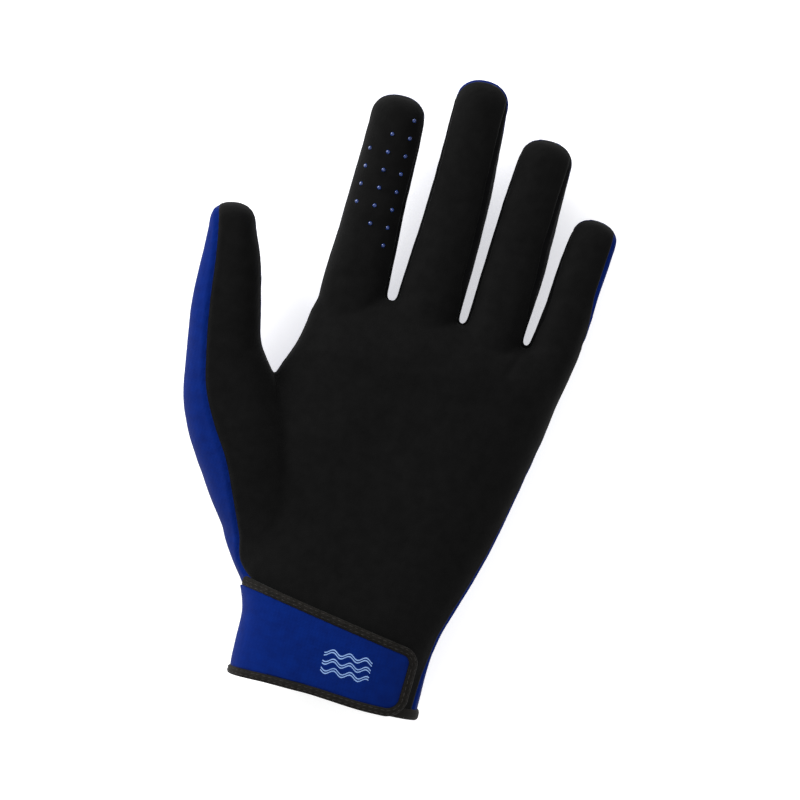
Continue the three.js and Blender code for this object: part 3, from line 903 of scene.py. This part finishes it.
def stitch(centre_at, run, normal, length, thick):
    """One stitch: a short rounded thread that dips in at both ends."""
    across = np.cross(normal, run)
    points, sides = [], 6
    for k, share in enumerate(np.linspace(-1, 1, 5)):
        size = thick * math.sqrt(max(1 - share**2 * 0.85, 0.05))
        middle = centre_at + run * share * length / 2 - normal * 0.16 * share**2
        for a in np.linspace(0, 2 * math.pi, sides, endpoint=False):
            points.append(middle + across * size * math.cos(a) + normal * size * math.sin(a))
    return np.array(points), bands(5, sides)


def stitches(p, n, lines, height, pitch, length, thick):
    made = []
    for line in lines:
        run = p[line]
        far = np.concatenate([[0], np.cumsum(np.linalg.norm(np.diff(run, axis=0), axis=1))])
        if far[-1] < 2 * pitch:
            continue
        stops = np.arange(pitch / 2, far[-1] - pitch / 2, pitch)
        at = np.stack([np.interp(stops, far, run[:, k]) for k in range(3)], 1)
        up = np.stack([np.interp(stops, far, n[line][:, k]) for k in range(3)], 1)
        up = up / np.linalg.norm(up, axis=1, keepdims=True)
        d = np.stack([np.interp(stops + 0.4, far, run[:, k]) - np.interp(stops - 0.4, far, run[:, k])
                      for k in range(3)], 1)
        d = d / np.maximum(np.linalg.norm(d, axis=1, keepdims=True), 1e-9)
        for c, u, r in zip(at, up, d):
            made.append(stitch(c + u * height, r, u, length, thick))
    return made


made = []
for row in stitch_rows:
    sp, st, pairs = cut(TP, TT, depth_in - row)
    made += stitches(sp, normals_of(sp, st), chains(pairs), 1.0, 2.0, 1.5, 0.17)
points, faces = gather(made)
finish(new_object("tab_stitches", metres(points), faces), THREAD)
fold(bpy.data.objects["tab_stitches"])

# A plain printed mark: three wavy lines.
tab_top = BVHTree.FromPolygons([tuple(v) for v in TP + TN * fabric[:, None]],
                               [tuple(f) for f in TT[where_in > TAB_BIND].tolist()])
shapes = []
for k in range(3):
    for edge_y in (-0.42, 0.42):
        points = []
        for x in np.linspace(-3.0, 13.0, 90):
            y = 9.3 + 2.9 * k + 0.7 * math.sin((x + 0.8 * k) * 1.15) + edge_y
            for off in (-0.19, 0.19):
                hit = tab_top.ray_cast(Vector((x, y + off, 90)), Vector((0, 0, -1)))[0]
                points.append([x, y + off, hit.z + 0.04])
        shapes.append((np.array(points), [(2 * i, 2 * i + 2, 2 * i + 3, 2 * i + 1) for i in range(89)]))
points, faces = gather(shapes)
finish(new_object("tab_mark", metres(points), faces), PRINT)
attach(bpy.data.objects["tab_mark"], "tab")

for cad, skin in (("hook_patch", HOOK), ("loop_patch", LOOP)):
    nodes[cad].data.materials.clear()
    nodes[cad].data.materials.append(skin)


# ---------------------------------------------------------------- floor and light
def make_stage():
    size = 3.0
    floor = new_object("floor", [(-size, -size, -0.0002), (size, -size, -0.0002), (size, size, -0.0002),
                                 (-size, size, -0.0002)], [(0, 1, 2, 3)])
    paint = bpy.data.materials.new("floor")
    paint.use_nodes = True
    shader = paint.node_tree.nodes["Principled BSDF"]
    shader.inputs["Base Color"].default_value = (0.8, 0.8, 0.8, 1)
    shader.inputs["Roughness"].default_value = 0.9
    shader.inputs["Emission Color"].default_value = (1, 1, 1, 1)
    shader.inputs["Emission Strength"].default_value = 0.55
    floor.data.materials.append(paint)


def soft_light(name, position, size, power):
    data = bpy.data.lights.new(name, "AREA")
    data.shape = "DISK"
    data.size = size
    data.energy = power
    obj = bpy.data.objects.new(name, data)
    bpy.context.scene.collection.objects.link(obj)
    obj.location = position
    obj.rotation_euler = (Vector((0, 0, 0.01)) - obj.location).to_track_quat("-Z", "Y").to_euler()


make_stage()
soft_light("key", (-1.3, 0.75, 0.75), 1.1, 42)
soft_light("fill", (0.9, -0.5, 1.2), 1.4, 5)
world = bpy.data.worlds.new("world")
bpy.context.scene.world = world
world.use_nodes = True
world.node_tree.nodes["Background"].inputs["Color"].default_value = (1, 1, 1, 1)
world.node_tree.nodes["Background"].inputs["Strength"].default_value = 0.7
bpy.context.scene.view_settings.view_transform = "Standard"


def write_size():
    import json


write_size()
